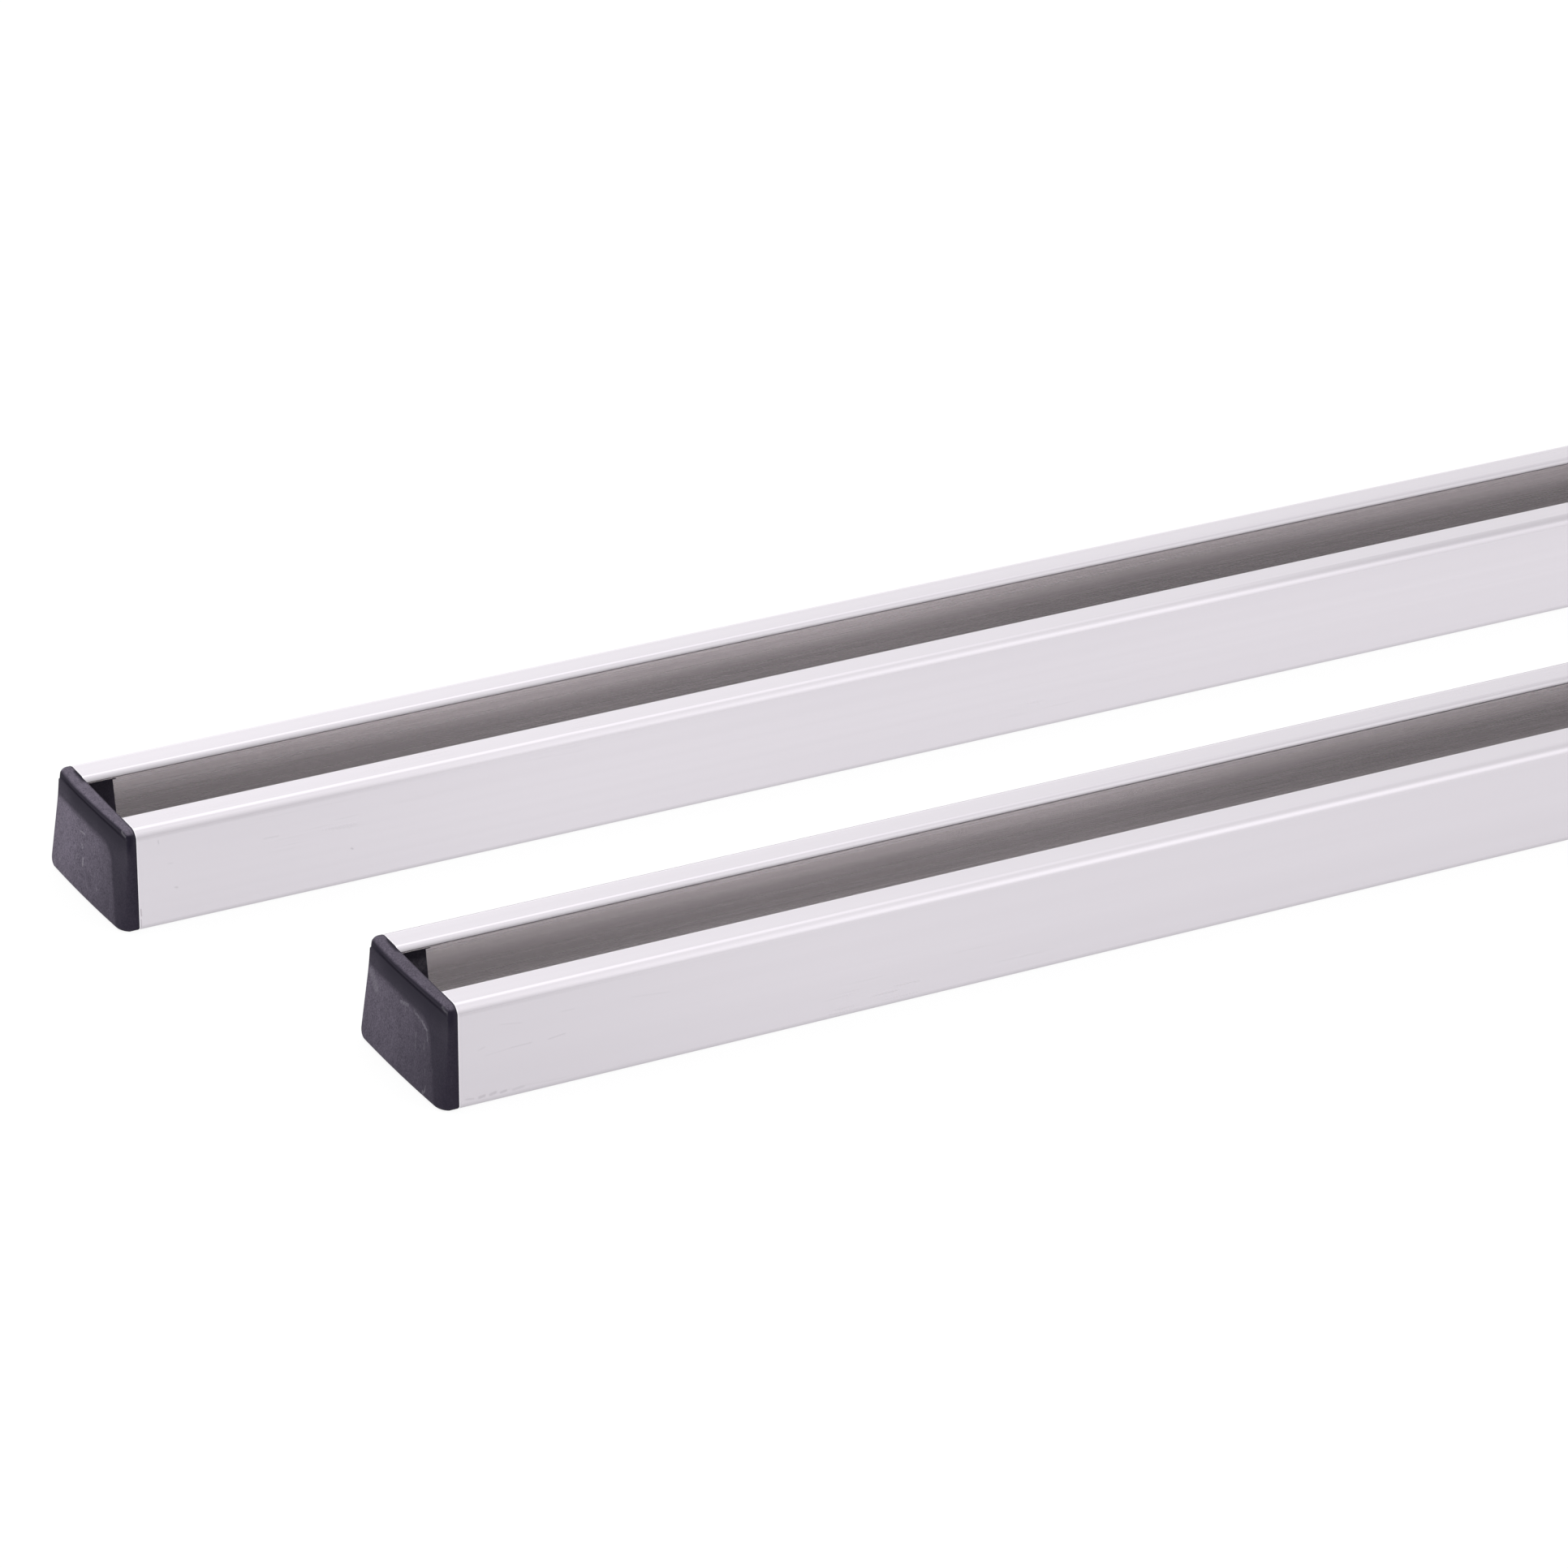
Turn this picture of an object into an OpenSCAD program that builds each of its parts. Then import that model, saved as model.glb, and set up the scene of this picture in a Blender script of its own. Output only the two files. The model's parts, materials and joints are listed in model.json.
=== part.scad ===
// Pair of slotted aluminium roof rails with moulded end caps.
// Frame: +X along the rails, +Y towards the rear rail, +Z up (slots open upwards).
// Origin: middle of the pair's outline, on the plane that the rails rest on.

/* [Rail] */
// Length of the aluminium extrusion, cut end to cut end
rail_length = 1200; // [600:10:1500]
// Outer width of the rail
rail_width = 50; // [44:0.5:60]
// Outer height of the rail
rail_height = 30.6; // [26:0.1:40]
// Thickness of the two side walls
side_wall = 2.0; // [1.6:0.1:3]
// Thickness of the floor
floor_wall = 2.0; // [1.6:0.1:3]
// Thickness of the two lips beside the slot
lip_wall = 2.0; // [1.6:0.1:2.6]
// Clear width of the slot between the lips
slot_width = 26.8; // [20:0.2:30]
// Radius of the outer top edges
top_radius = 3.0; // [2.2:0.1:4]
// Radius of the outer bottom edges
bottom_radius = 0.8; // [0.4:0.1:1.5]
// Radius of the inside corners of the channel
inner_radius = 0.6; // [0.4:0.1:1]

/* [End cap] */
// How far the cap's face stands out from the rail end, at the bottom edge
cap_bottom_out = 6.5; // [5.5:0.1:9]
// How far the cap's face stands out under its top band
cap_middle_out = 3.5; // [3.3:0.1:5]
// How far the cap's top rim stands out
cap_rim_out = 3.3; // [2.8:0.1:4.5]
// Height of the upright band between the sloping face and the top rim
cap_band = 6.6; // [4:0.1:10]
// Radius that the cap's face is bowed to, seen from above
cap_bow = 350; // [250:10:600]
// Radius of the face's upright edge on the front side
cap_front_radius = 3.2; // [2:0.1:4]
// Radius of the face's upright edge on the rear side
cap_rear_radius = 1.3; // [0.8:0.1:3]
// Radius of the cap's bottom edge
cap_bottom_radius = 1.5; // [0.8:0.1:2]
// Radius of the cap's top rim
cap_rim_radius = 1.6; // [1:0.1:2]

/* [Cap plug legs] */
// Gap between a plug leg and the channel around it
leg_gap = 0.1; // [0.05:0.05:0.3]
// Thickness of the leg's upright wall
leg_wall = 2.0; // [1.2:0.1:3]
// Thickness of the leg's webs under the lip and on the floor
leg_web = 1.1; // [0.8:0.1:2]
// Clear width between the two legs
leg_clear = 30; // [28:0.5:34]
// Length of the leg at the floor
leg_length = 13.9; // [10:0.1:20]
// How much shorter the leg's end is under the lip
leg_rake = 1.8; // [0:0.1:3]
// Length of the web under the lip
leg_top_length = 11; // [8:0.5:14]

/* [Layout] */
// Distance between the middles of the two rails
rail_spacing = 136; // [80:1:300]
// How far the front rail is shifted to the right of the rear rail
rail_stagger = 34; // [0:1:60]

/* [Hidden] */
$fn = 96;
alu = [0.82, 0.81, 0.84];
black = [0.16, 0.15, 0.18];
half_w = rail_width / 2;
half_l = rail_length / 2;
cavity_w = rail_width - 2 * side_wall;
cavity_h = rail_height - floor_wall - lip_wall;
band_z = rail_height - 2 - cap_band;
e = 0.01;

// Rectangle standing on the X axis, with its own radius for the top and the bottom corners.
module rounded_block(w, h, rt, rb) {
    translate([-w / 2, rb]) square([w, h - rb - rt]);
    translate([-w / 2 + rb, 0]) square([w - 2 * rb, rb + e]);
    translate([-w / 2 + rt, h - rt - e]) square([w - 2 * rt, rt + e]);
    for (s = [-1, 1]) {
        translate([s * (w / 2 - rb), rb]) circle(r = rb);
        translate([s * (w / 2 - rt), h - rt]) circle(r = rt);
    }
}

// Outline shared by the rail and by the cap that sits flush on its end.
module outer_section() {
    rounded_block(rail_width, rail_height, top_radius, bottom_radius);
}

// The extruded section: floor, side walls and two lips with rounded inner edges.
module rail_section() {
    difference() {
        outer_section();
        translate([0, floor_wall]) rounded_block(cavity_w, cavity_h, inner_radius, inner_radius);
        translate([-slot_width / 2, rail_height - lip_wall - 1]) square([slot_width, lip_wall + 2]);
        for (s = [0, 1]) mirror([s, 0])
            translate([slot_width / 2, rail_height - lip_wall])
                difference() {
                    translate([-1, 0]) square([1 + lip_wall, lip_wall + 1]);
                    translate([lip_wall, 0]) circle(r = lip_wall);
                }
    }
}

module rail() {
    rotate([90, 0, 90])
        translate([0, 0, -half_l]) linear_extrude(rail_length) rail_section();
}

// Side view of the cap's face: x is the distance out from the rail end, y the height.
module cap_side() {
    polygon([
        [-5, 0],
        [cap_bottom_out - cap_bottom_radius, 0],
        [cap_bottom_out - cap_bottom_radius * 0.0107, cap_bottom_radius * 1.146],
        [cap_middle_out, band_z],
        [cap_rim_out - 0.15, rail_height - 2.6],
        [cap_rim_out, rail_height - cap_rim_radius],
        [cap_rim_out - cap_rim_radius, rail_height],
        [-5, rail_height]
    ]);
    translate([cap_bottom_out - cap_bottom_radius, cap_bottom_radius]) circle(r = cap_bottom_radius);
    translate([cap_rim_out - cap_rim_radius, rail_height - cap_rim_radius]) circle(r = cap_rim_radius);
}

// Plan view of the cap: the front upright edge has the larger radius.
module cap_plan() {
    edge = cap_bottom_out - half_w * half_w / (2 * cap_bow);
    fr = cap_front_radius;
    rr = cap_rear_radius;
    translate([-edge + fr, -half_w]) square([edge - fr, fr + e]);
    translate([-edge + rr, half_w - rr - e]) square([edge - rr, rr + e]);
    translate([-cap_bottom_out - 1, -half_w + fr]) square([cap_bottom_out + 1, rail_width - fr - rr]);
    translate([-edge + fr, -half_w + fr]) circle(r = fr);
    translate([-edge + rr, half_w - rr]) circle(r = rr);
}

// Solid end of the cap, with the rail's outline, a bowed sloping face and a top rim.
module cap_face() {
    intersection() {
        rotate([90, 0, 90]) translate([0, 0, -cap_bottom_out - 1]) linear_extrude(cap_bottom_out + 1) outer_section();
        translate([0, 0, -1]) linear_extrude(rail_height + 2) cap_plan();
        translate([cap_bow, 0, 0]) rotate([0, 0, 174])
            rotate_extrude(angle = 12, $fn = 720) translate([cap_bow, 0]) cap_side();
    }
}

// The two C-shaped plug legs that slide into the channel.
module cap_legs() {
    intersection() {
        rotate([90, 0, 90]) translate([0, 0, -0.5]) linear_extrude(leg_length + 1) difference() {
            translate([0, floor_wall + leg_gap])
                rounded_block(cavity_w - 2 * leg_gap, cavity_h - 2 * leg_gap, inner_radius + 0.4, inner_radius + 0.4);
            translate([0, floor_wall + leg_gap + leg_web])
                rounded_block(cavity_w - 2 * leg_gap - 2 * leg_wall, cavity_h - 2 * leg_gap - 2 * leg_web, 0.5, 0.5);
            translate([-leg_clear / 2, 0]) square([leg_clear, rail_height]);
        }
        translate([0, half_w, 0]) rotate([90, 0, 0]) linear_extrude(rail_width)
            polygon([
                [-1, 0],
                [leg_length, 0],
                [leg_length, floor_wall],
                [leg_length - leg_rake, rail_height - lip_wall - leg_gap - leg_web],
                [leg_top_length, rail_height - lip_wall - leg_gap - leg_web],
                [leg_top_length, rail_height],
                [-1, rail_height]
            ]);
    }
}

// A left-hand cap, its flange face at x = 0.
module cap() {
    union() {
        cap_face();
        cap_legs();
    }
}

module place_rear() { translate([-rail_stagger / 2, rail_spacing / 2, 0]) children(); }
module place_front() { translate([rail_stagger / 2, -rail_spacing / 2, 0]) children(); }

module rear_rail() { color(alu) place_rear() rail(); }
module front_rail() { color(alu) place_front() rail(); }
module rear_rail_left_cap() { color(black) place_rear() translate([-half_l, 0, 0]) cap(); }
module rear_rail_right_cap() { color(black) place_rear() translate([half_l, 0, 0]) mirror([1, 0, 0]) cap(); }
module front_rail_left_cap() { color(black) place_front() translate([-half_l, 0, 0]) cap(); }
module front_rail_right_cap() { color(black) place_front() translate([half_l, 0, 0]) mirror([1, 0, 0]) cap(); }

rear_rail();
front_rail();
rear_rail_left_cap();
rear_rail_right_cap();
front_rail_left_cap();
front_rail_right_cap();
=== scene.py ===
"""Pair of slotted roof rails with end caps: final meshes, materials, light and camera.

The frame is the CAD's: metres, +X along the rails, +Y to the rear rail, +Z up.
Lengths below are written in millimetres and scaled by MM.
"""
import json
import math

import bpy
import bmesh
from mathutils import Matrix, Vector

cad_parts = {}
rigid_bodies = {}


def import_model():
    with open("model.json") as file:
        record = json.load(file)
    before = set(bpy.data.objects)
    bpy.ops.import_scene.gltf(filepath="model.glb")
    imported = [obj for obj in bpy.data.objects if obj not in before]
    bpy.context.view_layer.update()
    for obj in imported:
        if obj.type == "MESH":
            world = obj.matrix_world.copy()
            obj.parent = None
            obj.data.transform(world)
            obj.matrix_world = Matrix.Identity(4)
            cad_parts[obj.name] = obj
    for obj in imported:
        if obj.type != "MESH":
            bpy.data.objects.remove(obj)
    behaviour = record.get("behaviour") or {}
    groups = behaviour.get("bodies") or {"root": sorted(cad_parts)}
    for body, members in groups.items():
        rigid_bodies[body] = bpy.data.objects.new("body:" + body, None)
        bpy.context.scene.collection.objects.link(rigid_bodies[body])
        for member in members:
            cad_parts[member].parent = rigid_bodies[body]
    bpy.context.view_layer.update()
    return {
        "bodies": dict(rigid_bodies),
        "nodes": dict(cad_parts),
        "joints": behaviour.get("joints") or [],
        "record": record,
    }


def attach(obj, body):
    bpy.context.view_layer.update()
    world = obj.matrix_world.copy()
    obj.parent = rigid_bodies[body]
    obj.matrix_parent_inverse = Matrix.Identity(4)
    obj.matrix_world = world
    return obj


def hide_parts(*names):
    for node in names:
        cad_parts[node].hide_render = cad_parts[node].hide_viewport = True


MM = 0.001
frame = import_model()

# The rails and the caps, as the CAD has them (mm).
RAIL_LENGTH = 1200.0
WIDTH = 50.0
HEIGHT = 30.6
WALL = 2.0
SLOT_HALF = 13.4
TOP_R = 3.0
BOTTOM_R = 0.8
INNER_R = 0.6
CUT_EDGE = 0.26
# The saw cuts are a little out of square: this much further in at the rear wall than at the front one.
CUT_SKEW = 0.7
RAILS = {
    "rear": (-17.0, 68.0),
    "front": (17.0, -68.0),
}


# ---------------------------------------------------------------- mesh helpers
def arc(cx, cy, r, a0, a1, n):
    """Points on an arc, both ends in, angles in degrees."""
    out = []
    for i in range(n + 1):
        a = math.radians(a0 + (a1 - a0) * i / n)
        out.append((cx + r * math.cos(a), cy + r * math.sin(a)))
    return out


def line(p, q, stops):
    """Points between p and q, both ends out, at the given distances from p (negative: from q)."""
    length = math.dist(p, q)
    out = []
    for d in stops:
        t = (d if d > 0 else length + d) / length
        out.append((p[0] + (q[0] - p[0]) * t, p[1] + (q[1] - p[1]) * t))
    return out


def smoothstep(a, b, v):
    t = min(max((v - a) / (b - a), 0.0), 1.0)
    return t * t * (3.0 - 2.0 * t)


def make_object(name, verts, faces, sharp=32.0):
    mesh = bpy.data.meshes.new(name)
    mesh.from_pydata([(x * MM, y * MM, z * MM) for x, y, z in verts], [], faces)
    mesh.validate()
    mesh.update()
    bm = bmesh.new()
    bm.from_mesh(mesh)
    bmesh.ops.recalc_face_normals(bm, faces=bm.faces)
    bm.to_mesh(mesh)
    bm.free()
    mesh.polygons.foreach_set("use_smooth", [True] * len(mesh.polygons))
    mesh.set_sharp_from_angle(angle=math.radians(sharp))
    mesh.update()
    obj = bpy.data.objects.new(name, mesh)
    bpy.context.scene.collection.objects.link(obj)
    return obj


def vertex_values(obj, name, values):
    layer = obj.data.attributes.new(name, "FLOAT", "POINT")
    layer.data.foreach_set("value", values)


# ---------------------------------------------------------------------- rails
def rail_section():
    """The C-shaped section, y across and z up, anticlockwise, with 1 for each point inside the channel.

    Points on the lower part of a lip's rounded edge have -0.01 to -1: how far they are turned into the slot.
    """
    hw = WIDTH / 2
    iw = hw - WALL
    top_in = HEIGHT - WALL
    half = []
    inside = []

    def add(points, flag):
        half.extend(points)
        inside.extend([flag] * len(points))

    bottom = (hw - BOTTOM_R, 0.0)
    add(line((0.0, 0.0), bottom, (8.0, 16.0, -0.4)), 0)
    add(arc(hw - BOTTOM_R, BOTTOM_R, BOTTOM_R, -90, 0, 8), 0)
    # The wall meets the top rounding in a faint edge.
    wall_top, first = HEIGHT - 2.3, 20.0
    round_r = 2.3 / (1.0 - math.sin(math.radians(first)))
    round_y = hw - round_r * math.cos(math.radians(first))
    add(line((hw, BOTTOM_R), (hw, wall_top), (0.4, 5.0, 10.0, 15.0, 20.0, -0.5)), 0)
    add(arc(round_y, HEIGHT - round_r, round_r, first, 90, 16), 0)
    lip = SLOT_HALF + 2.0
    add(line((round_y, HEIGHT), (lip, HEIGHT), (0.5, 3.3, -0.4)), 0)
    for i, point in enumerate(arc(lip, HEIGHT - 2.0, 2.0, 90, 171, 15)):
        add([point], -smoothstep(0.28, 0.96, i / 15))
    add(arc(SLOT_HALF + 0.22, top_in + 0.2, 0.2, 185, 270, 4), 1)
    add(line((SLOT_HALF + 0.22, top_in), (iw - INNER_R, top_in), (0.3, 4.0, -0.3)), 1)
    add(arc(iw - INNER_R, top_in - INNER_R, INNER_R, 90, 0, 8), 1)
    add(line((iw, top_in - INNER_R), (iw, WALL + INNER_R), (0.3, 6.0, 12.0, 18.0, -0.3)), 1)
    add(arc(iw - INNER_R, WALL + INNER_R, INNER_R, 0, -90, 8), 1)
    add(line((iw - INNER_R, WALL), (0.0, WALL), (0.3, 7.0, 14.0)), 1)
    points = list(half)
    flags = list(inside)
    for (y, z), flag in zip(reversed(half), reversed(inside)):
        points.append((-y, z))
        flags.append(flag)
    return points, flags


def shrink(points, d):
    """The closed outline moved d into its own material."""
    n = len(points)
    out = []
    for i in range(n):
        ax, ay = points[i - 1]
        bx, by = points[i]
        cx, cy = points[(i + 1) % n]
        e0 = Vector((bx - ax, by - ay)).normalized()
        e1 = Vector((cx - bx, cy - by)).normalized()
        n0 = Vector((-e0.y, e0.x))
        n1 = Vector((-e1.y, e1.x))
        m = (n0 + n1).normalized()
        k = d / max(0.5, m.dot(n0))
        out.append((bx + m.x * k, by + m.y * k))
    return out


def build_rail(name, cx, cy):
    section, flags = rail_section()
    small = shrink(section, CUT_EDGE)
    mid = shrink(section, CUT_EDGE * 0.3)
    half = RAIL_LENGTH / 2
    ends = [(0.0, small, 1.0), (CUT_EDGE * 0.3, mid, 1.0), (CUT_EDGE, section, 1.0), (CUT_EDGE + 0.05, section, 0.0), (1.2, section, 0.0)]
    stations = [(-half + x, ring, cut) for x, ring, cut in ends]
    steps = 48
    for i in range(1, steps):
        stations.append((-half + RAIL_LENGTH * i / steps, section, 0.0))
    stations += [(half - x, ring, cut) for x, ring, cut in reversed(ends)]
    n = len(section)
    verts, inside, cut_edge, turned = [], [], [], []
    for x, ring, cut in stations:
        end = max(0.0, abs(x) - (half - 12.5)) / 12.5
        for (y, z), flag in zip(ring, flags):
            skew = CUT_SKEW * (y / WIDTH + 0.5) * end
            verts.append((cx + x - math.copysign(skew, x), cy + y, z))
            inside.append(max(float(flag), 0.0))
            turned.append(max(-float(flag), 0.0))
            cut_edge.append(cut)
    faces = []
    for s in range(len(stations) - 1):
        a, b = s * n, (s + 1) * n
        for i in range(n):
            j = (i + 1) % n
            faces.append((a + i, a + j, b + j, b + i))
    last = (len(stations) - 1) * n
    # The two cut ends, each one face with the section's outline.
    for base, flip in ((0, True), (last, False)):
        face = [base + i for i in range(n)]
        faces.append(tuple(reversed(face)) if flip else tuple(face))
    obj = make_object(name, verts, faces, sharp=14.0)
    vertex_values(obj, "inside", inside)
    vertex_values(obj, "cut", cut_edge)
    vertex_values(obj, "turned", turned)
    return obj


# ----------------------------------------------------------------------- caps
def cap_surface(s, z):
    """How far the cap's face stands out of the rail's cut (p), how grained it is and how pale (0 to 1), the paleness
    being the grain's own lighter tone with painted light and shade on it.

    s runs from the front side wall to the rear one, z up.
    """
    # The grained pad: a straight slope, bowed from side to side.
    bow = 0.52 * ((s - 33.0) / 25.0) ** 2
    pad = 6.445 + (1.72 - z) * 0.1455 - bow
    # The upright band above it, with the rim standing a little proud of it.
    band = 3.37 - (z - 22.0) * 0.055 - bow
    band += (0.5 - 0.4 * smoothstep(34.0, 47.0, s)) * smoothstep(28.45, 28.85, z)
    hollow = smoothstep(0.3, 2.5, s) * (1.0 - smoothstep(41.0, 47.5, s))
    band -= 0.7 * hollow * smoothstep(27.5, 27.95, z) * (1.0 - smoothstep(28.4, 28.85, z))
    k = 0.45
    h = max(k - abs(pad - band), 0.0) / k
    p = max(pad, band) + h * h * k * 0.25
    above = 1.0 - smoothstep(21.9, 25.6, z)
    # The front edge of the pad: a soft bevel that grows wider upwards.
    reach = 3.8 + 0.38 * z
    if s < reach:
        t = 1.0 - s / reach
        foot = 2.7
        p = foot + (p - foot) * (1.0 - t ** 2.1) ** 0.56
    # The pad's outline, for the grain.
    edge = 2.2 + 0.39 * z
    corner = math.hypot(max(edge + 4.5 - s, 0.0), max(z - 18.05 - 0.35 * smoothstep(40.0, 49.0, s), 0.0)) - 4.5
    grain = min(1.0 - smoothstep(-2.2, 1.3, corner), above)
    # Painted light and shade over the grain's own lighter tone: paler towards the rear and the top, where more light
    # falls, and on the rim; darkest in the shaded hollow under the rim.
    pale = grain * (0.455 + 0.56 * smoothstep(2.0, 42.0, s)) * (0.80 + 0.24 * smoothstep(0.0, 16.0, z))
    frame = (0.15 - 0.15 * smoothstep(22.0, 27.0, z)) * (1.0 - 0.25 * smoothstep(20.0, 23.0, z) * smoothstep(3.0, 6.0, s) * (1.0 - smoothstep(10.0, 18.0, s))) + 0.16 * smoothstep(34.0, 49.0, s) * smoothstep(20.0, 24.0, z)
    pale = max(pale, frame * (1.0 - smoothstep(26.6, 28.0, z)))
    return p, grain, pale


def outline_left(z):
    """How far in the rounded rail outline starts at this height."""
    if z > HEIGHT - TOP_R:
        q = z - (HEIGHT - TOP_R)
        return TOP_R - math.sqrt(max(TOP_R ** 2 - q * q, 0.0))
    if z < BOTTOM_R:
        q = BOTTOM_R - z
        return BOTTOM_R - math.sqrt(max(BOTTOM_R ** 2 - q * q, 0.0))
    return 0.0


CORNER = 3.3


def outline_right(z):
    """The same on the rear side, where the face's bottom corner is rounded more."""
    if z < CORNER:
        q = CORNER - z
        return CORNER - math.sqrt(max(CORNER ** 2 - q * q, 0.0))
    return outline_left(z)


def to_section(s, z):
    """A point on the face's rear bottom corner, moved out to the rail's own corner."""
    u, v = s - (WIDTH - CORNER), CORNER - z
    if u <= 0.0 or v <= 0.0:
        return s, z
    k = CORNER / max(u, v)
    s, z = WIDTH - CORNER + u * k, CORNER - v * k
    u, v = s - (WIDTH - BOTTOM_R), BOTTOM_R - z
    if u > 0.0 and v > 0.0:
        k = BOTTOM_R / math.hypot(u, v)
        s, z = WIDTH - BOTTOM_R + u * k, BOTTOM_R - v * k
    return s, z


def edge_drop(s, z):
    """Drop of the face towards its bottom and rear edges."""
    u, v = s - (WIDTH - CORNER), CORNER - z
    if u > 0.0 and v > 0.0:
        return fillet(CORNER - math.hypot(u, v), 1.3 + 0.45 * v / (u + v))
    return fillet(z, 1.75) + fillet(WIDTH - s, 1.3)


def inset(s, z):
    """Distance in from the outline of the rail's section."""
    hw, hh = WIDTH / 2, HEIGHT / 2
    x = abs(s - hw)
    y = z - hh
    r = TOP_R if y > 0 else BOTTOM_R
    qx, qy = x - (hw - r), abs(y) - (hh - r)
    return r - min(max(qx, qy), 0.0) - math.hypot(max(qx, 0.0), max(qy, 0.0))


def spaced(knots):
    """Sorted list of positions from (start, stop, steps) spans."""
    out = []
    for a, b, n in knots:
        for i in range(n):
            out.append(a + (b - a) * i / n)
    out.append(knots[-1][1])
    return out


def fillet(d, r):
    """Drop of a face at distance d from a sharp edge that is rounded to r."""
    if d >= r:
        return 0.0
    t = 1.0 - max(d, 0.0) / r
    return r * (1.0 - math.sqrt(max(1.0 - t * t, 0.0)))


def ease(a, b, n):
    """n positions from a up to b, packed at a, like the points of a quarter circle."""
    return [a + (b - a) * (1.0 - math.cos(math.pi / 2 * i / n)) for i in range(n)]


def build_cap(name, x_cut, y_mid, side, tone):
    """side is -1 for a left-hand cap and 1 for a right-hand one, its mirror image; tone below 1 darkens the cap, and
    its grained pad more, as painted shade.
    """
    rows = ease(0.0, 3.3, 16)
    rows += spaced([(3.3, 18.0, 20), (18.0, 26.0, 20), (26.0, 27.5, 6), (27.5, 29.0, 18)])[:-1]
    rows += [HEIGHT - v for v in reversed(ease(0.0, 1.6, 14))]
    cols = ease(0.0, 1.2, 10) + spaced([(1.2, 16.0, 40), (16.0, 46.0, 34), (46.0, 48.7, 8)])[:-1]
    cols += [WIDTH - v for v in reversed(ease(0.0, 1.3, 10))]
    verts, mask, pale = [], [], []
    index = {}
    for j, z in enumerate(rows):
        lead, tail = outline_left(z), outline_right(z)
        for i, c in enumerate(cols):
            s = lead + (WIDTH - lead - tail) * c / WIDTH
            p, m, light = cap_surface(s, z)
            # Rounded edges: the rim at the top, then the bottom, the rear side and the front side.
            rim = 1.25 + 1.0 * smoothstep(8.0, 50.0, s)
            if z > HEIGHT - 4.0:
                p -= fillet(inset(s, z), rim)
            else:
                p -= edge_drop(s, z) + 0.9 * fillet(s, 0.9)
            # Painted highlight along the rim's rounded top edge, where it faces up into the light.
            painted_edge_shading = (1.0 - 0.06 * smoothstep(5.0, 25.0, s)) * (1.0 - smoothstep(0.20, 0.68, inset(s, z) / rim)) * smoothstep(28.0, 28.6, z)
            painted_edge_shading *= 1.0 - (1.0 - smoothstep(1.2, 4.0, s)) * (1.0 - smoothstep(29.3, 30.0, z))
            # tone paints the front caps darker, their grained pad more so: painted shade.
            light = max(light, painted_edge_shading) * tone * (1.0 - 0.68 * (1.0 - tone) * m)
            index[j, i] = len(verts)
            verts.append((x_cut + side * p, y_mid - WIDTH / 2 + s, z))
            mask.append(m)
            pale.append(light)
    faces = []
    nr, nc = len(rows), len(cols)
    for j in range(nr - 1):
        for i in range(nc - 1):
            faces.append((index[j, i], index[j, i + 1], index[j + 1, i + 1], index[j + 1, i]))
    # The rim of the grid, in order, then the sides down to the rail's cut and the flat back.
    loop = [index[0, i] for i in range(nc)] + [index[j, nc - 1] for j in range(1, nr)]
    loop += [index[nr - 1, i] for i in range(nc - 2, -1, -1)] + [index[j, 0] for j in range(nr - 2, 0, -1)]
    rings = [loop]
    for p, d in ((0.55, 0.0), (0.25, 0.0), (0.08, 0.07), (0.0, 0.25)):
        ring = []
        for v in loop:
            _, y, z = verts[v]
            s, z = to_section(y - (y_mid - WIDTH / 2), z)
            # The back edge is rounded more along the top's rear part, where the real one stands off a little.
            gap = smoothstep(35.0, 37.5, s) * (1.0 - smoothstep(43.0, 45.5, s)) * smoothstep(29.5, 30.4, z)
            more = 1.0 + 0.25 * gap
            cs, cz = WIDTH / 2, HEIGHT / 2
            ks = 1.0 - d / 25.0
            kz = 1.0 - d * more / 15.3
            ring.append(len(verts))
            skew = CUT_SKEW * min(max(s / WIDTH, 0.0), 1.0)
            verts.append((x_cut + side * (min(p * more, 1.2) - skew), y_mid - WIDTH / 2 + cs + (s - cs) * ks, cz + (z - cz) * kz))
            mask.append(0.0)
            # Painted highlight on the top's rounded back edge and painted shade in the gap along its rear part; the
            # sides stay dark, and tone darkens the front caps.
            top = smoothstep(29.3, 30.2, z)
            pale.append(((0.95 if p > 0.3 else 0.3) * top * (1.0 - 0.97 * gap) + 0.10 * (1.0 - top)) * tone)
        rings.append(ring)
    n = len(loop)
    for a, b in zip(rings, rings[1:]):
        for i in range(n):
            k = (i + 1) % n
            faces.append((a[i], a[k], b[k], b[i]))
    faces.append(tuple(rings[-1]))
    obj = make_object(name, verts, faces, sharp=50.0)
    vertex_values(obj, "pad", mask)
    vertex_values(obj, "pale", pale)
    # The front caps' legs are painted darker too, as painted shade.
    legs = build_legs(name + "_legs", x_cut, y_mid, side, 0.26 if tone == 1.0 else 0.20)
    return obj, legs


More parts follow.
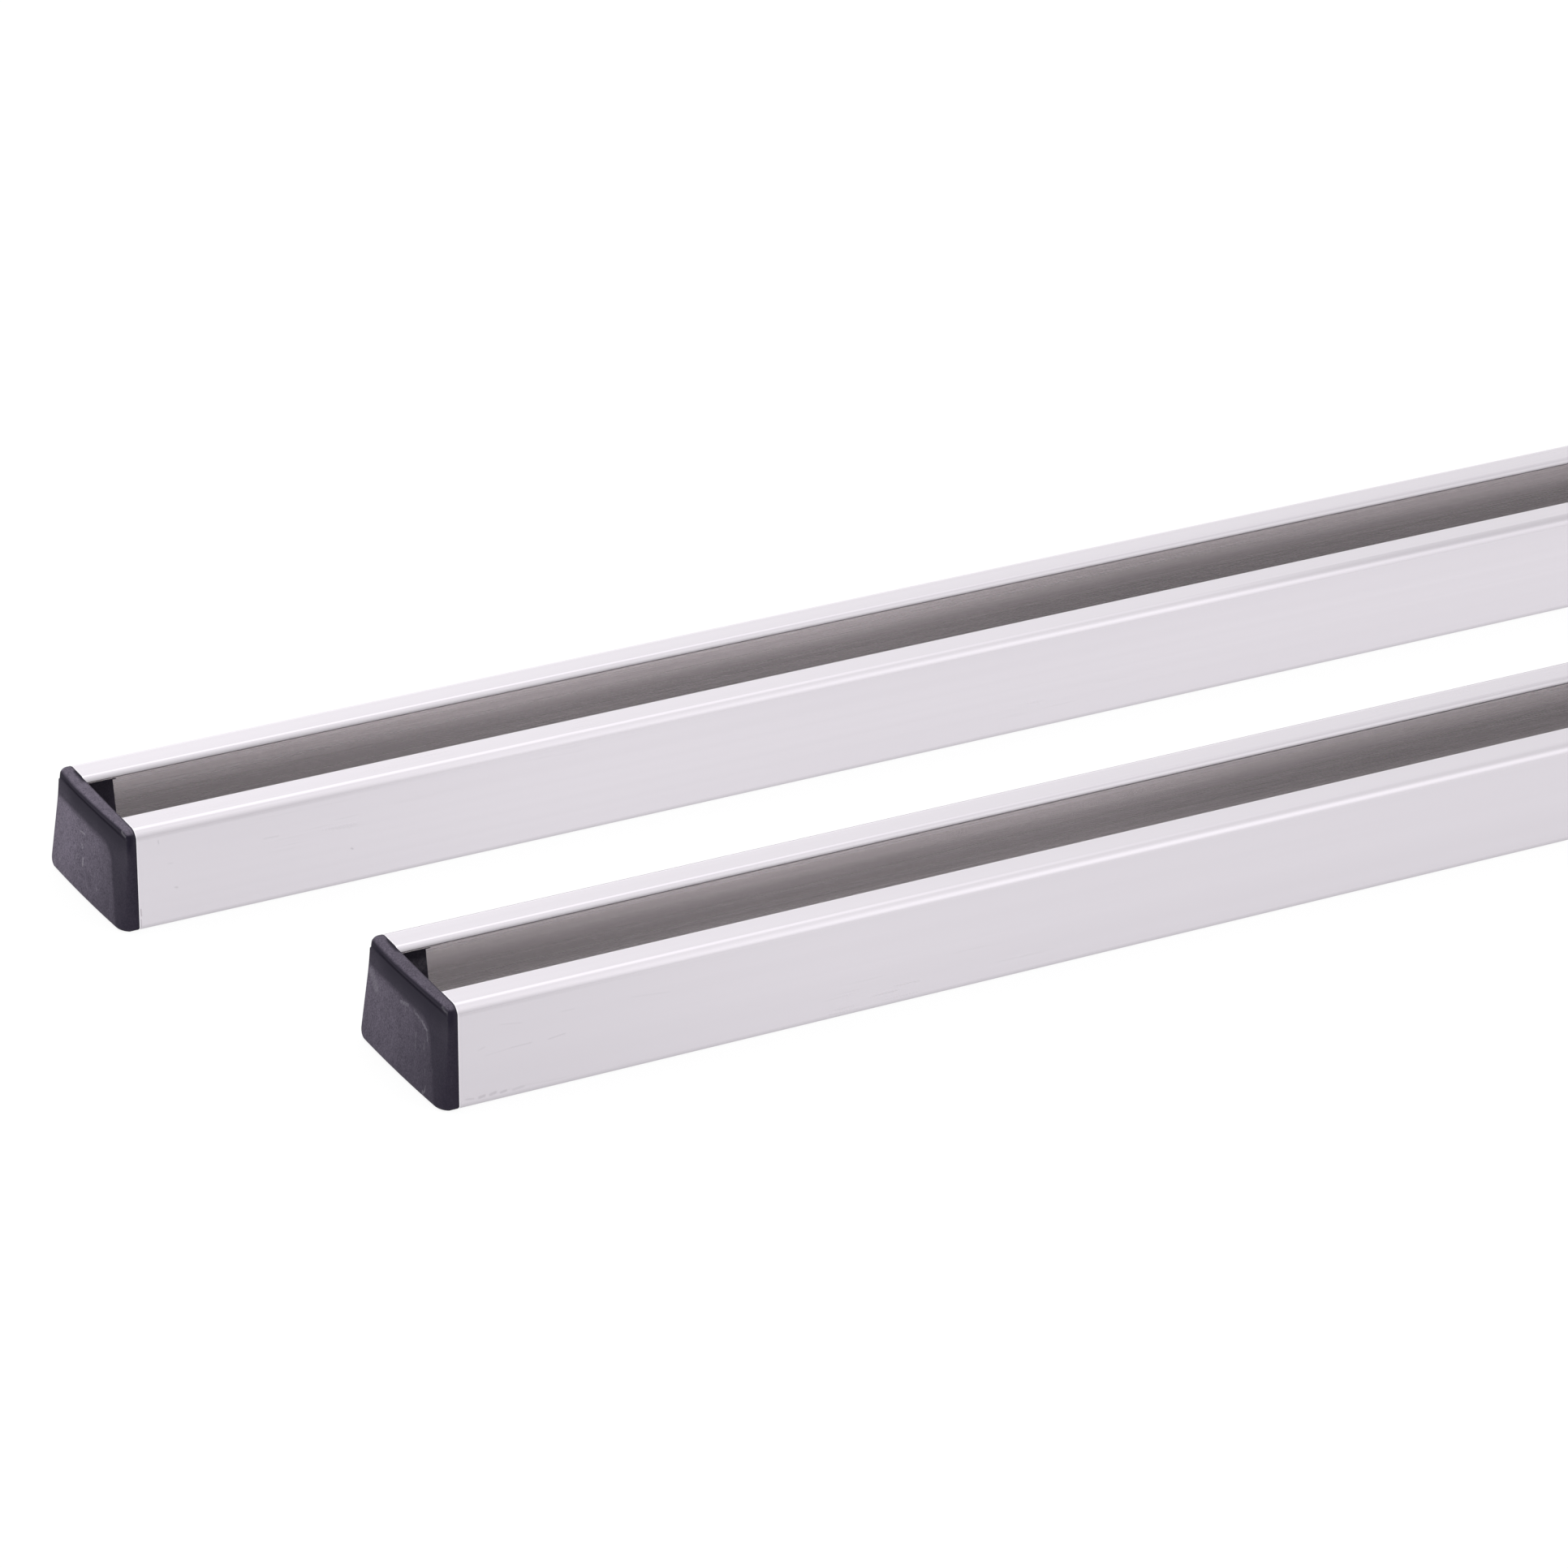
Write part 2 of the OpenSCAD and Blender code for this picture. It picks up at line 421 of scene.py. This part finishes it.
def build_legs(name, x_cut, y_mid, side, pale):
    """The two C-shaped plug legs inside the channel, each one closed."""
    lo, hi = WALL + 0.1, HEIGHT - WALL - 0.1
    web = 1.1
    outer = WIDTH / 2 - WALL - 0.1
    ys = [outer, outer - 2.0, 15.0]
    zs = [lo, lo + web, hi - web, hi]
    bm = bmesh.new()
    for sign in (-1, 1):
        cache = {}

        def vert(ix, iy, iz):
            key = (ix, iy, iz)
            if key not in cache:
                z = zs[iz]
                if ix == 0:
                    x = -0.35
                elif ix == 1:
                    x = 11.0
                else:
                    x = 13.9 - 1.8 * min(max((z - 2.0) / (27.4 - 2.0), 0.0), 1.0)
                cache[key] = bm.verts.new(((x_cut - side * x) * MM, (y_mid + sign * ys[iy]) * MM, z * MM))
            return cache[key]

        cells = set()
        for ix in range(2):
            for iy in range(2):
                for iz in range(3):
                    if iy == 1 and iz == 1:
                        continue
                    if iz == 2 and ix == 1:
                        continue
                    cells.add((ix, iy, iz))
        steps = (
            ((-1, 0, 0), ((0, 0, 0), (0, 1, 0), (0, 1, 1), (0, 0, 1))),
            ((1, 0, 0), ((1, 0, 0), (1, 0, 1), (1, 1, 1), (1, 1, 0))),
            ((0, -1, 0), ((0, 0, 0), (0, 0, 1), (1, 0, 1), (1, 0, 0))),
            ((0, 1, 0), ((0, 1, 0), (1, 1, 0), (1, 1, 1), (0, 1, 1))),
            ((0, 0, -1), ((0, 0, 0), (1, 0, 0), (1, 1, 0), (0, 1, 0))),
            ((0, 0, 1), ((0, 0, 1), (0, 1, 1), (1, 1, 1), (1, 0, 1))),
        )
        for c in sorted(cells):
            for (dx, dy, dz), corners in steps:
                if (c[0] + dx, c[1] + dy, c[2] + dz) in cells:
                    continue
                bm.faces.new([vert(c[0] + a, c[1] + b, c[2] + e) for a, b, e in corners])
    bmesh.ops.recalc_face_normals(bm, faces=bm.faces)
    bmesh.ops.dissolve_limit(bm, angle_limit=0.01, verts=bm.verts, edges=bm.edges)
    sharp = [e for e in bm.edges if len(e.link_faces) == 2 and e.calc_face_angle(0.0) > 0.6]
    bmesh.ops.bevel(bm, geom=sharp, offset=0.3 * MM, segments=3, profile=0.6, affect="EDGES", clamp_overlap=True)
    mesh = bpy.data.meshes.new(name)
    bm.to_mesh(mesh)
    bm.free()
    mesh.polygons.foreach_set("use_smooth", [True] * len(mesh.polygons))
    mesh.set_sharp_from_angle(angle=math.radians(40))
    obj = bpy.data.objects.new(name, mesh)
    bpy.context.scene.collection.objects.link(obj)
    vertex_values(obj, "pad", [0.0] * len(mesh.vertices))
    vertex_values(obj, "pale", [pale] * len(mesh.vertices))
    return obj


# ------------------------------------------------------------------ materials
class Nodes:
    """A small helper for shader nodes."""

    def __init__(self, tree):
        self.tree = tree
        self.x = -1600

    def add(self, kind, values=None, **props):
        node = self.tree.nodes.new(kind)
        node.location = (self.x, 0)
        self.x += 40
        for key, value in props.items():
            setattr(node, key, value)
        for key, value in (values or {}).items():
            self.put(node, key, value)
        return node

    def put(self, node, key, value):
        socket = node.inputs[key]
        if isinstance(value, bpy.types.NodeSocket):
            self.tree.links.new(value, socket)
        else:
            socket.default_value = value

    def math(self, op, a, b=0.0, c=0.0, clamp=False):
        node = self.add("ShaderNodeMath", {0: a, 1: b, 2: c}, operation=op)
        node.use_clamp = clamp
        return node.outputs[0]

    def remap(self, value, a, b, c, d, smooth=False):
        node = self.add("ShaderNodeMapRange", {"Value": value, "From Min": a, "From Max": b, "To Min": c, "To Max": d})
        node.interpolation_type = "SMOOTHSTEP" if smooth else "LINEAR"
        return node.outputs["Result"]

    def noise(self, vector, scale, detail=2.0, rough=0.5, distortion=0.0):
        node = self.add("ShaderNodeTexNoise", {"Vector": vector, "Scale": scale, "Detail": detail, "Roughness": rough, "Distortion": distortion})
        return node.outputs["Fac"]

    def stretch(self, vector, scale):
        return self.add("ShaderNodeMapping", {"Vector": vector, "Scale": scale}).outputs["Vector"]

    def mix(self, fac, a, b):
        node = self.add("ShaderNodeMix", data_type="RGBA")
        self.put(node, "Factor", fac)
        # The colour sockets share their names with the float and vector ones.
        self.put(node, 6, a)
        self.put(node, 7, b)
        return node.outputs[2]

    def ramp(self, fac, stops):
        """A grey ramp through (position, value) stops."""
        node = self.add("ShaderNodeValToRGB", {"Fac": fac})
        node.color_ramp.elements.remove(node.color_ramp.elements[0])
        for i, (position, value) in enumerate(stops):
            e = node.color_ramp.elements[0] if i == 0 else node.color_ramp.elements.new(position)
            e.position = position
            e.color = (value, value, value, 1)
        return node.outputs["Color"]

    def mark(self, flat, a, b, radius, amount):
        """amount inside a short rounded stroke from a to b, given as (y, z) in mm, fading out around it."""
        start = (0.0, a[0] * MM, a[1] * MM)
        along = (0.0, (b[0] - a[0]) * MM, (b[1] - a[1]) * MM)
        square = along[1] ** 2 + along[2] ** 2
        away = self.add("ShaderNodeVectorMath", {0: flat, 1: start}, operation="SUBTRACT").outputs["Vector"]
        share = self.add("ShaderNodeVectorMath", {0: away, 1: along}, operation="DOT_PRODUCT").outputs["Value"]
        share = self.math("DIVIDE", share, square, clamp=True)
        foot = self.add("ShaderNodeVectorMath", {0: along, "Scale": share}, operation="SCALE").outputs["Vector"]
        away = self.add("ShaderNodeVectorMath", {0: away, 1: foot}, operation="SUBTRACT").outputs["Vector"]
        far = self.add("ShaderNodeVectorMath", {0: away}, operation="LENGTH").outputs["Value"]
        return self.remap(far, radius * 0.3 * MM, radius * 1.6 * MM, amount, 0.0, True)

    def bump(self, height, strength, distance, normal=None):
        values = {"Height": height, "Strength": strength, "Distance": distance}
        if normal is not None:
            values["Normal"] = normal
        return self.add("ShaderNodeBump", values).outputs["Normal"]


def new_material(name):
    mat = bpy.data.materials.new(name)
    mat.use_nodes = True
    tree = mat.node_tree
    shader = next(n for n in tree.nodes if n.type == "BSDF_PRINCIPLED")
    return mat, Nodes(tree), shader


FRONT_WALL_MARKS = [
    ((-575.0, 14.2), (-567.6, 14.7), 0.22, 0.06),
    ((-567.6, 14.8), (-561.4, 14.9), 0.20, 0.13),
    ((-556.3, 14.7), (-551.5, 15.2), 0.24, 0.13),
    ((-577.1, 16.3), (-575.2, 16.9), 0.22, 0.10),
    ((-570.6, 22.5), (-564.3, 21.5), 0.22, 0.08),
    ((-552.5, 22.0), (-548.8, 21.9), 0.22, 0.07),
    ((-531.5, 21.3), (-520.7, 20.3), 0.26, 0.05),
    ((-581.0, 2.5), (-578.8, 2.2), 0.28, 0.20),
    ((-577.0, 2.1), (-575.6, 2.3), 0.42, 0.32),
    ((-573.8, 2.2), (-572.3, 2.5), 0.42, 0.28),
    ((-570.6, 2.1), (-569.2, 2.3), 0.38, 0.30),
    ((-567.0, 2.0), (-564.0, 2.3), 0.36, 0.16),
]
REAR_WALL_MARKS = [
    ((-551.8, 10.8), (-551.3, 10.5), 0.28, 0.28),
    ((-605.8, 10.9), (-605.1, 10.7), 0.28, 0.20),
    ((-610.4, 26.4), (-610.3, 25.5), 0.20, 0.22),
    ((-607.6, 18.7), (-606.4, 18.6), 0.24, 0.10),
    ((-578.5, 19.9), (-574.1, 19.7), 0.24, 0.10),
    ((-616.4, 6.4), (-616.3, 4.4), 0.20, 0.55),
    ((-616.4, 3.2), (-616.4, 1.0), 0.18, 0.45),
]


def aluminium():
    """Natural anodised extrusion: fine drawn lines along the length, a few faint die lines and handling marks."""
    mat, n, shader = new_material("Anodised aluminium")
    place = n.add("ShaderNodeTexCoord").outputs["Object"]
    inside = n.add("ShaderNodeAttribute", attribute_name="inside").outputs["Fac"]
    fine = n.noise(n.stretch(place, (3.0, 2600.0, 2600.0)), 1.0, 2.0, 0.6)
    lines = n.noise(n.stretch(place, (1.2, 620.0, 620.0)), 1.0, 2.0, 0.55)
    broad = n.noise(n.stretch(place, (0.9, 90.0, 90.0)), 1.0, 1.0)
    cloud = n.noise(n.stretch(place, (9.0, 30.0, 30.0)), 1.0, 3.0, 0.6)
    # Rare, short scratches along the rail.
    mark = n.noise(n.stretch(place, (60.0, 1500.0, 1500.0)), 1.0, 0.0)
    where = n.noise(n.stretch(place, (6.0, 26.0, 26.0)), 1.0, 1.0)
    scratch = n.math("MULTIPLY", n.remap(mark, 0.70, 0.78, 0.0, 1.0, True), n.remap(where, 0.58, 0.70, 0.0, 1.0, True))
    tone = n.math("ADD", n.math("MULTIPLY", lines, 0.5), n.math("MULTIPLY", fine, 0.5))
    tone = n.remap(tone, 0.3, 0.7, 0.0, 1.0)
    axes = n.add("ShaderNodeSeparateXYZ", {"Vector": place}).outputs
    outer = n.mix(tone, (0.689, 0.655, 0.699, 1), (0.715, 0.681, 0.726, 1))
    side = n.mix(tone, (0.715, 0.680, 0.725, 1), (0.739, 0.704, 0.750, 1))
    # Painted shade: the side walls, which have their own colour, are darkened towards the ends and on the front rail,
    # following how the light falls along and across the rails.
    wall = n.remap(axes["Z"], 27.6 * MM, 29.0 * MM, 1.0, 0.0, True)
    painted_wall_shade = n.math("ADD", n.remap(n.math("ABSOLUTE", axes["X"]), 0.46, 0.615, 0.0, 0.32, True), n.remap(axes["Y"], -0.02, 0.02, 0.23, 0.0, True))
    outer = n.mix(wall, outer, n.mix(painted_wall_shade, side, (0.56, 0.53, 0.57, 1)))
    # Painted shade: darker along the foot, where the bottom edge reflects the shaded floor at the contact, and on the
    # lip's edge where it turns down into the dark slot.
    outer = n.mix(n.remap(axes["Z"], 0.1 * MM, 1.6 * MM, 0.42, 0.0), outer, (0.30, 0.29, 0.31, 1))
    turned = n.add("ShaderNodeAttribute", attribute_name="turned").outputs["Fac"]
    outer = n.mix(n.math("MULTIPLY", turned, 0.52), outer, (0.26, 0.25, 0.26, 1))
    # Painted shade: the rear rail's near top edge is darkened further along, where its highlight fades.
    painted_edge_shading = n.math("MULTIPLY", n.remap(axes["X"], -0.29, -0.19, 0.0, 0.5, True), n.remap(axes["Z"], 27.9 * MM, 28.8 * MM, 0.0, 1.0, True))
    painted_edge_shading = n.math("MULTIPLY", painted_edge_shading, n.math("MULTIPLY", n.remap(axes["Y"], 0.0455, 0.0465, 1.0, 0.0, True), n.remap(axes["Y"], 0.02, 0.03, 0.0, 1.0, True)))
    outer = n.mix(painted_edge_shading, outer, (0.56, 0.53, 0.57, 1))
    # Near side walls: a painted shade line under the rounded top edge at the left end, where the edge's reflection
    # darkens, and handling marks, as (x, z) in mm.
    front_wall = n.remap(axes["Y"], -0.0926, -0.0919, 1.0, 0.0, True)
    rear_wall = n.math("MULTIPLY", n.remap(axes["Y"], 0.0434, 0.0441, 1.0, 0.0, True), n.remap(axes["Y"], 0.02, 0.03, 0.0, 1.0, True))
    under = n.remap(n.math("ABSOLUTE", n.math("SUBTRACT", axes["Z"], 28.45 * MM)), 0.3 * MM, 1.3 * MM, 0.22, 0.0, True)
    under = n.math("MULTIPLY", under, n.remap(axes["X"], -0.585, -0.50, 1.0, 0.0, True))
    # marks starts with the painted shade line and then takes in the handling marks.
    marks = n.math("MULTIPLY", under, n.math("ADD", front_wall, rear_wall))
    flat = n.add("ShaderNodeCombineXYZ", {"Y": axes["X"], "Z": axes["Z"]}).outputs["Vector"]
    for here, strokes in ((front_wall, FRONT_WALL_MARKS), (rear_wall, REAR_WALL_MARKS)):
        for stroke in strokes:
            marks = n.math("MAXIMUM", marks, n.math("MULTIPLY", n.mark(flat, *stroke), here))
    marks = n.math("MULTIPLY", marks, n.math("SUBTRACT", 1.0, inside))
    outer = n.mix(marks, outer, (0.34, 0.31, 0.34, 1))
    # Inside the channel the lines are coarser, and a painted shade darkens the wall downwards.
    draw = n.noise(n.stretch(place, (4.0, 950.0, 950.0)), 1.0, 1.0, 0.5)
    channel_streaks_and_painted_shade = n.ramp(n.math("DIVIDE", axes["Z"], HEIGHT * MM), [(0.0, 0.93), (0.20, 0.93), (0.28, 0.50), (0.36, 0.44), (0.45, 0.46), (0.54, 0.52), (0.61, 0.635), (0.66, 0.74), (0.75, 0.87), (0.82, 0.93), (1.0, 0.93)])
    streak = n.math("ADD", n.math("MULTIPLY", draw, 0.7), n.math("MULTIPLY", fine, 0.3))
    channel_streaks_and_painted_shade = n.math("MULTIPLY", channel_streaks_and_painted_shade, n.remap(streak, 0.36, 0.64, 0.962, 1.038))
    # Painted shade: the channel's brightness varies a little along its length, and the front one is a little darker,
    # following how the light falls into it.
    along = n.ramp(n.remap(axes["X"], -0.62, -0.18, 0.0, 1.0, True), [(0.0, 0.487), (0.12, 0.51), (0.30, 0.53), (0.45, 0.525), (0.66, 0.532), (0.93, 0.50), (1.0, 0.50)])
    along = n.math("MULTIPLY", along, n.remap(axes["Y"], -0.02, 0.02, 1.965, 2.0, True))
    channel_streaks_and_painted_shade = n.math("MULTIPLY", channel_streaks_and_painted_shade, along)
    inner = n.mix(channel_streaks_and_painted_shade, (0.0, 0.0, 0.0, 1), (1.0, 0.964, 0.979, 1))
    colour = n.mix(inside, outer, inner)
    scratch = n.math("MULTIPLY", scratch, n.math("SUBTRACT", 1.0, inside))
    colour = n.mix(n.math("MULTIPLY", scratch, 0.3), colour, (0.55, 0.53, 0.55, 1))
    cut = n.add("ShaderNodeAttribute", attribute_name="cut").outputs["Fac"]
    colour = n.mix(cut, colour, (0.80, 0.78, 0.81, 1))
    n.put(shader, "Base Color", colour)
    shader.inputs["Metallic"].default_value = 1.0
    even = n.math("ADD", n.math("MULTIPLY", broad, 0.5), n.math("MULTIPLY", cloud, 0.5))
    rough = n.mix(inside, n.remap(even, 0.3, 0.7, 0.18, 0.22), (0.215, 0.215, 0.215, 1))
    rough = n.math("ADD", rough, n.math("MULTIPLY", tone, 0.03))
    rough = n.math("ADD", rough, n.math("MULTIPLY", n.math("MAXIMUM", scratch, cut), 0.12))
    rough = n.math("ADD", rough, n.math("MULTIPLY", inside, 0.04))
    n.put(shader, "Roughness", rough)
    strong = n.math("SUBTRACT", 0.3, n.math("MULTIPLY", inside, 0.25))
    normal = n.bump(n.math("MULTIPLY", lines, strong), 0.045, 0.0002)
    normal = n.bump(n.math("MULTIPLY", fine, strong), 0.06, 0.0001, normal)
    n.put(shader, "Normal", normal)
    return mat


LEFT_MARKS = [
    ((74.0, 18.4), (70.7, 18.6), 0.22, 0.55),
    ((72.2, 14.9), (71.6, 14.3), 0.34, 0.55),
    ((70.7, 11.5), (70.4, 9.4), 0.34, 0.65),
    ((75.1, 10.9), (75.1, 9.6), 0.26, 0.35),
    ((75.9, 8.3), (75.8, 7.8), 0.26, 0.30),
    ((64.1, 17.8), (63.9, 15.7), 0.20, 0.20),
    ((46.6, 29.6), (44.6, 29.0), 0.45, 0.30),
    ((-46.4, 20.4), (-50.2, 17.6), 1.50, 0.22),
    ((-65.2, 20.4), (-69.4, 21.3), 0.50, 0.26),
    ((-73.4, 21.1), (-77.9, 20.3), 0.50, 0.20),
    ((-77.9, 20.3), (-81.0, 19.1), 0.45, 0.30),
    ((-81.1, 19.1), (-82.2, 16.4), 0.40, 0.20),
    ((-57.3, 15.5), (-57.2, 14.2), 0.25, 0.20),
    ((-89.4, 29.6), (-91.6, 28.9), 0.45, 0.25),
]
RIGHT_MARKS = [
    ((80.2, 12.4), (78.6, 13.6), 0.28, 0.40),
    ((66.4, 7.1), (66.1, 5.6), 0.30, 0.35),
    ((-58.9, 16.8), (-60.7, 16.5), 0.26, 0.35),
    ((-73.8, 9.9), (-73.9, 8.4), 0.32, 0.40),
]


def plastic():
    """Black moulded plastic: a spark-eroded grain on the face's pad, smoother around it, a little scuffed."""
    mat, n, shader = new_material("Black moulded plastic")
    place = n.add("ShaderNodeTexCoord").outputs["Object"]
    pad = n.add("ShaderNodeAttribute", attribute_name="pad").outputs["Fac"]
    grain = n.noise(place, 2400.0, 2.0, 0.6)
    mottle = n.noise(place, 420.0, 3.0, 0.6)
    cloud = n.noise(place, 90.0, 2.0, 0.5)
    # Small scuffs, mostly on the pad.
    mark = n.noise(n.stretch(place, (900.0, 900.0, 260.0)), 1.0, 0.0)
    where = n.noise(place, 70.0, 1.0)
    scuff = n.math("MULTIPLY", n.remap(mark, 0.68, 0.76, 0.0, 1.0, True), n.remap(where, 0.52, 0.64, 0.0, 1.0, True))
    # pale carries the grain's own lighter tone with the painted light and shade from cap_surface and build_cap.
    pale = n.add("ShaderNodeAttribute", attribute_name="pale").outputs["Fac"]
    specks = n.noise(place, 1900.0, 3.0, 0.8)
    blotch = n.math("ADD", n.math("MULTIPLY", mottle, 0.6), n.math("MULTIPLY", cloud, 0.4))
    speckle = n.math("ADD", n.remap(blotch, 0.3, 0.7, -0.26, 0.26), n.remap(specks, 0.3, 0.7, 0.40, 1.60))
    shade = n.math("MULTIPLY", n.math("MULTIPLY", pale, speckle), 0.745)
    colour = n.mix(shade, (0.0055, 0.0042, 0.0125, 1), (0.140, 0.122, 0.160, 1))
    # Short handling marks, listed as (y, z) in mm: the left-hand caps, then the right-hand ones.
    axes = n.add("ShaderNodeSeparateXYZ", {"Vector": place}).outputs
    flat = n.add("ShaderNodeVectorMath", {0: place, 1: (0.0, 1.0, 1.0)}, operation="MULTIPLY").outputs["Vector"]
    total = None
    for sign, marks in ((-1.0, LEFT_MARKS), (1.0, RIGHT_MARKS)):
        here = n.remap(axes["X"], 0.0, sign * 0.1, 0.0, 1.0)
        for stroke in marks:
            one = n.math("MULTIPLY", n.mark(flat, *stroke), here)
            total = one if total is None else n.math("MAXIMUM", total, one)
    total = n.math("MULTIPLY", total, n.remap(specks, 0.38, 0.58, 0.35, 1.0))
    scuff = n.math("MAXIMUM", n.math("MULTIPLY", n.math("MULTIPLY", scuff, pad), 0.22), total)
    colour = n.mix(scuff, colour, (0.27, 0.26, 0.29, 1))
    n.put(shader, "Base Color", colour)
    shader.inputs["Metallic"].default_value = 0.0
    shader.inputs["IOR"].default_value = 1.36
    shader.inputs["Specular IOR Level"].default_value = 0.5
    shader.inputs["Specular Tint"].default_value = (1.0, 0.90, 1.0, 1)
    rough = n.math("ADD", n.math("MULTIPLY", pad, 0.04), n.remap(cloud, 0.3, 0.7, 0.84, 0.90))
    n.put(shader, "Roughness", rough)
    amount = n.math("ADD", n.math("MULTIPLY", pad, 0.8), 0.2)
    height = n.math("MULTIPLY", n.math("ADD", n.math("MULTIPLY", grain, 0.7), n.math("MULTIPLY", mottle, 0.5)), amount)
    n.put(shader, "Normal", n.bump(height, 0.35, 0.00012))
    return mat


# ----------------------------------------------------------------- the object
metal = aluminium()
black = plastic()

for key, (cx, cy) in RAILS.items():
    rail = build_rail(key + "_rail_extrusion", cx, cy)
    rail.data.materials.append(metal)
    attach(rail, "root")
    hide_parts(key + "_rail")
    for word, side in (("left", -1), ("right", 1)):
        node = key + "_rail_" + word + "_cap"
        # The front caps get tone 0.78: painted shade.
        face, legs = build_cap(node + "_moulding", cx + side * RAIL_LENGTH / 2, cy, side, 1.0 if key == "rear" else 0.78)
        for piece in (face, legs):
            piece.data.materials.append(black)
            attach(piece, "root")
            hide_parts(node)

# ------------------------------------------------------------- floor and light
floor_mesh = bpy.data.meshes.new("studio_floor")
reach = 60.0
floor_mesh.from_pydata([(-reach, -reach, 0), (reach, -reach, 0), (reach, reach, 0), (-reach, reach, 0)], [], [(0, 1, 2, 3)])
floor = bpy.data.objects.new("studio_floor", floor_mesh)
bpy.context.scene.collection.objects.link(floor)
paint, pn, ps = new_material("Pale floor")
ps.inputs["Base Color"].default_value = (0.15, 0.15, 0.15, 1)
ps.inputs["Emission Color"].default_value = (1, 1, 1, 1)
ps.inputs["Emission Strength"].default_value = 0.86
ps.inputs["Roughness"].default_value = 0.9
ps.inputs["Specular IOR Level"].default_value = 0.0
floor_mesh.materials.append(paint)

world = bpy.data.worlds.new("Studio")
bpy.context.scene.world = world
world.use_nodes = True
wn = Nodes(world.node_tree)
back = next(x for x in world.node_tree.nodes if x.type == "BACKGROUND")
direction = wn.add("ShaderNodeTexCoord").outputs["Generated"]
axes = wn.add("ShaderNodeSeparateXYZ", {"Vector": direction})
# 0 at the front horizon, 0.5 overhead, 1 at the rear horizon.
turn = wn.math("DIVIDE", wn.math("ARCTAN2", axes.outputs["Z"], wn.math("MULTIPLY", axes.outputs["Y"], -1.0)), math.pi)
# A wide even sky, and two long soft boxes that are seen in different parts of the rails.
SKY = [(0.00, 1.02), (0.08, 1.04), (0.20, 1.07), (0.35, 1.09), (0.50, 1.09), (0.60, 1.08), (0.72, 1.12), (0.79, 1.16), (0.86, 1.165), (1.00, 1.165)]
HIGH_BOX = [(0.00, 0.0), (0.50, 0.0), (0.57, 0.36), (0.64, 0.64), (0.71, 0.66), (0.78, 0.06), (0.84, 0.0), (1.00, 0.0)]
FRONT_BOX = [(0.00, 0.0), (0.15, 0.10), (0.25, 0.68), (0.32, 0.80), (0.39, 0.64), (0.47, 0.12), (0.52, 0.0), (1.00, 0.0)]
OVERHEAD = [(0.00, 0.0), (0.30, 0.0), (0.42, 2.0), (0.60, 2.0), (0.70, 0.0), (1.00, 0.0)]
# The front box hangs lower towards the right.
lower = wn.math("ADD", turn, wn.remap(axes.outputs["X"], 0.39, 0.45, 0.02, 0.10, True))
parts = [wn.ramp(at, [(p, v * 0.5) for p, v in stops]) for at, stops in ((turn, SKY), (turn, HIGH_BOX), (lower, FRONT_BOX), (turn, OVERHEAD))]
high = wn.math("MULTIPLY", parts[1], wn.remap(axes.outputs["X"], 0.415, 0.455, 1.0, 0.0, True))
front = wn.math("SUBTRACT", 1.0, wn.math("MULTIPLY", wn.remap(axes.outputs["X"], 0.15, 0.25, 0.0, 1.0, True), wn.remap(axes.outputs["X"], 0.375, 0.395, 1.0, 0.0, True)))
front = wn.math("MULTIPLY", front, wn.remap(axes.outputs["X"], 0.50, 0.53, 1.0, 0.30, True))
front = wn.math("MULTIPLY", parts[2], front)
# Straight up it is brighter towards the left.
over = wn.math("MULTIPLY", parts[3], wn.remap(axes.outputs["X"], 0.40, 0.52, 0.15, -0.04, True))
light = wn.math("ADD", wn.math("ADD", parts[0], over), wn.math("ADD", high, front))
# The rear left is a little brighter than the rear right.
aim = wn.math("ADD", wn.math("MULTIPLY", axes.outputs["X"], -0.5), wn.math("MULTIPLY", axes.outputs["Y"], 0.866))
wn.put(back, "Color", light)
strength = wn.remap(aim, 0.395, 0.65, 1.72, 2.373)
strength = wn.math("MULTIPLY", strength, wn.remap(axes.outputs["X"], 0.08, 0.34, 0.88, 1.0, True))
wn.put(back, "Strength", strength)

# --------------------------------------------------------------------- camera
right = Vector((0.88438277, -0.46674677, 0.00381643))
up = Vector((0.19958372, 0.38553334, 0.90084981))
behind = Vector((-0.42194010, -0.79593435, 0.43411411))
data = bpy.data.cameras.new("Camera")
camera = bpy.data.objects.new("Camera", data)
bpy.context.scene.collection.objects.link(camera)
turned = Matrix((right, up, behind)).transposed().to_4x4()
camera.matrix_world = Matrix.Translation(Vector((-1283.79438, -1598.55040, 895.65865)) * MM) @ turned
data.sensor_width = 36.0
data.sensor_fit = "HORIZONTAL"
data.lens = 162.543
data.clip_start = 0.05
data.clip_end = 200.0
data.dof.use_dof = False
bpy.context.scene.camera = camera
bpy.context.scene.view_settings.view_transform = "Standard"
bpy.context.scene.view_settings.look = "None"
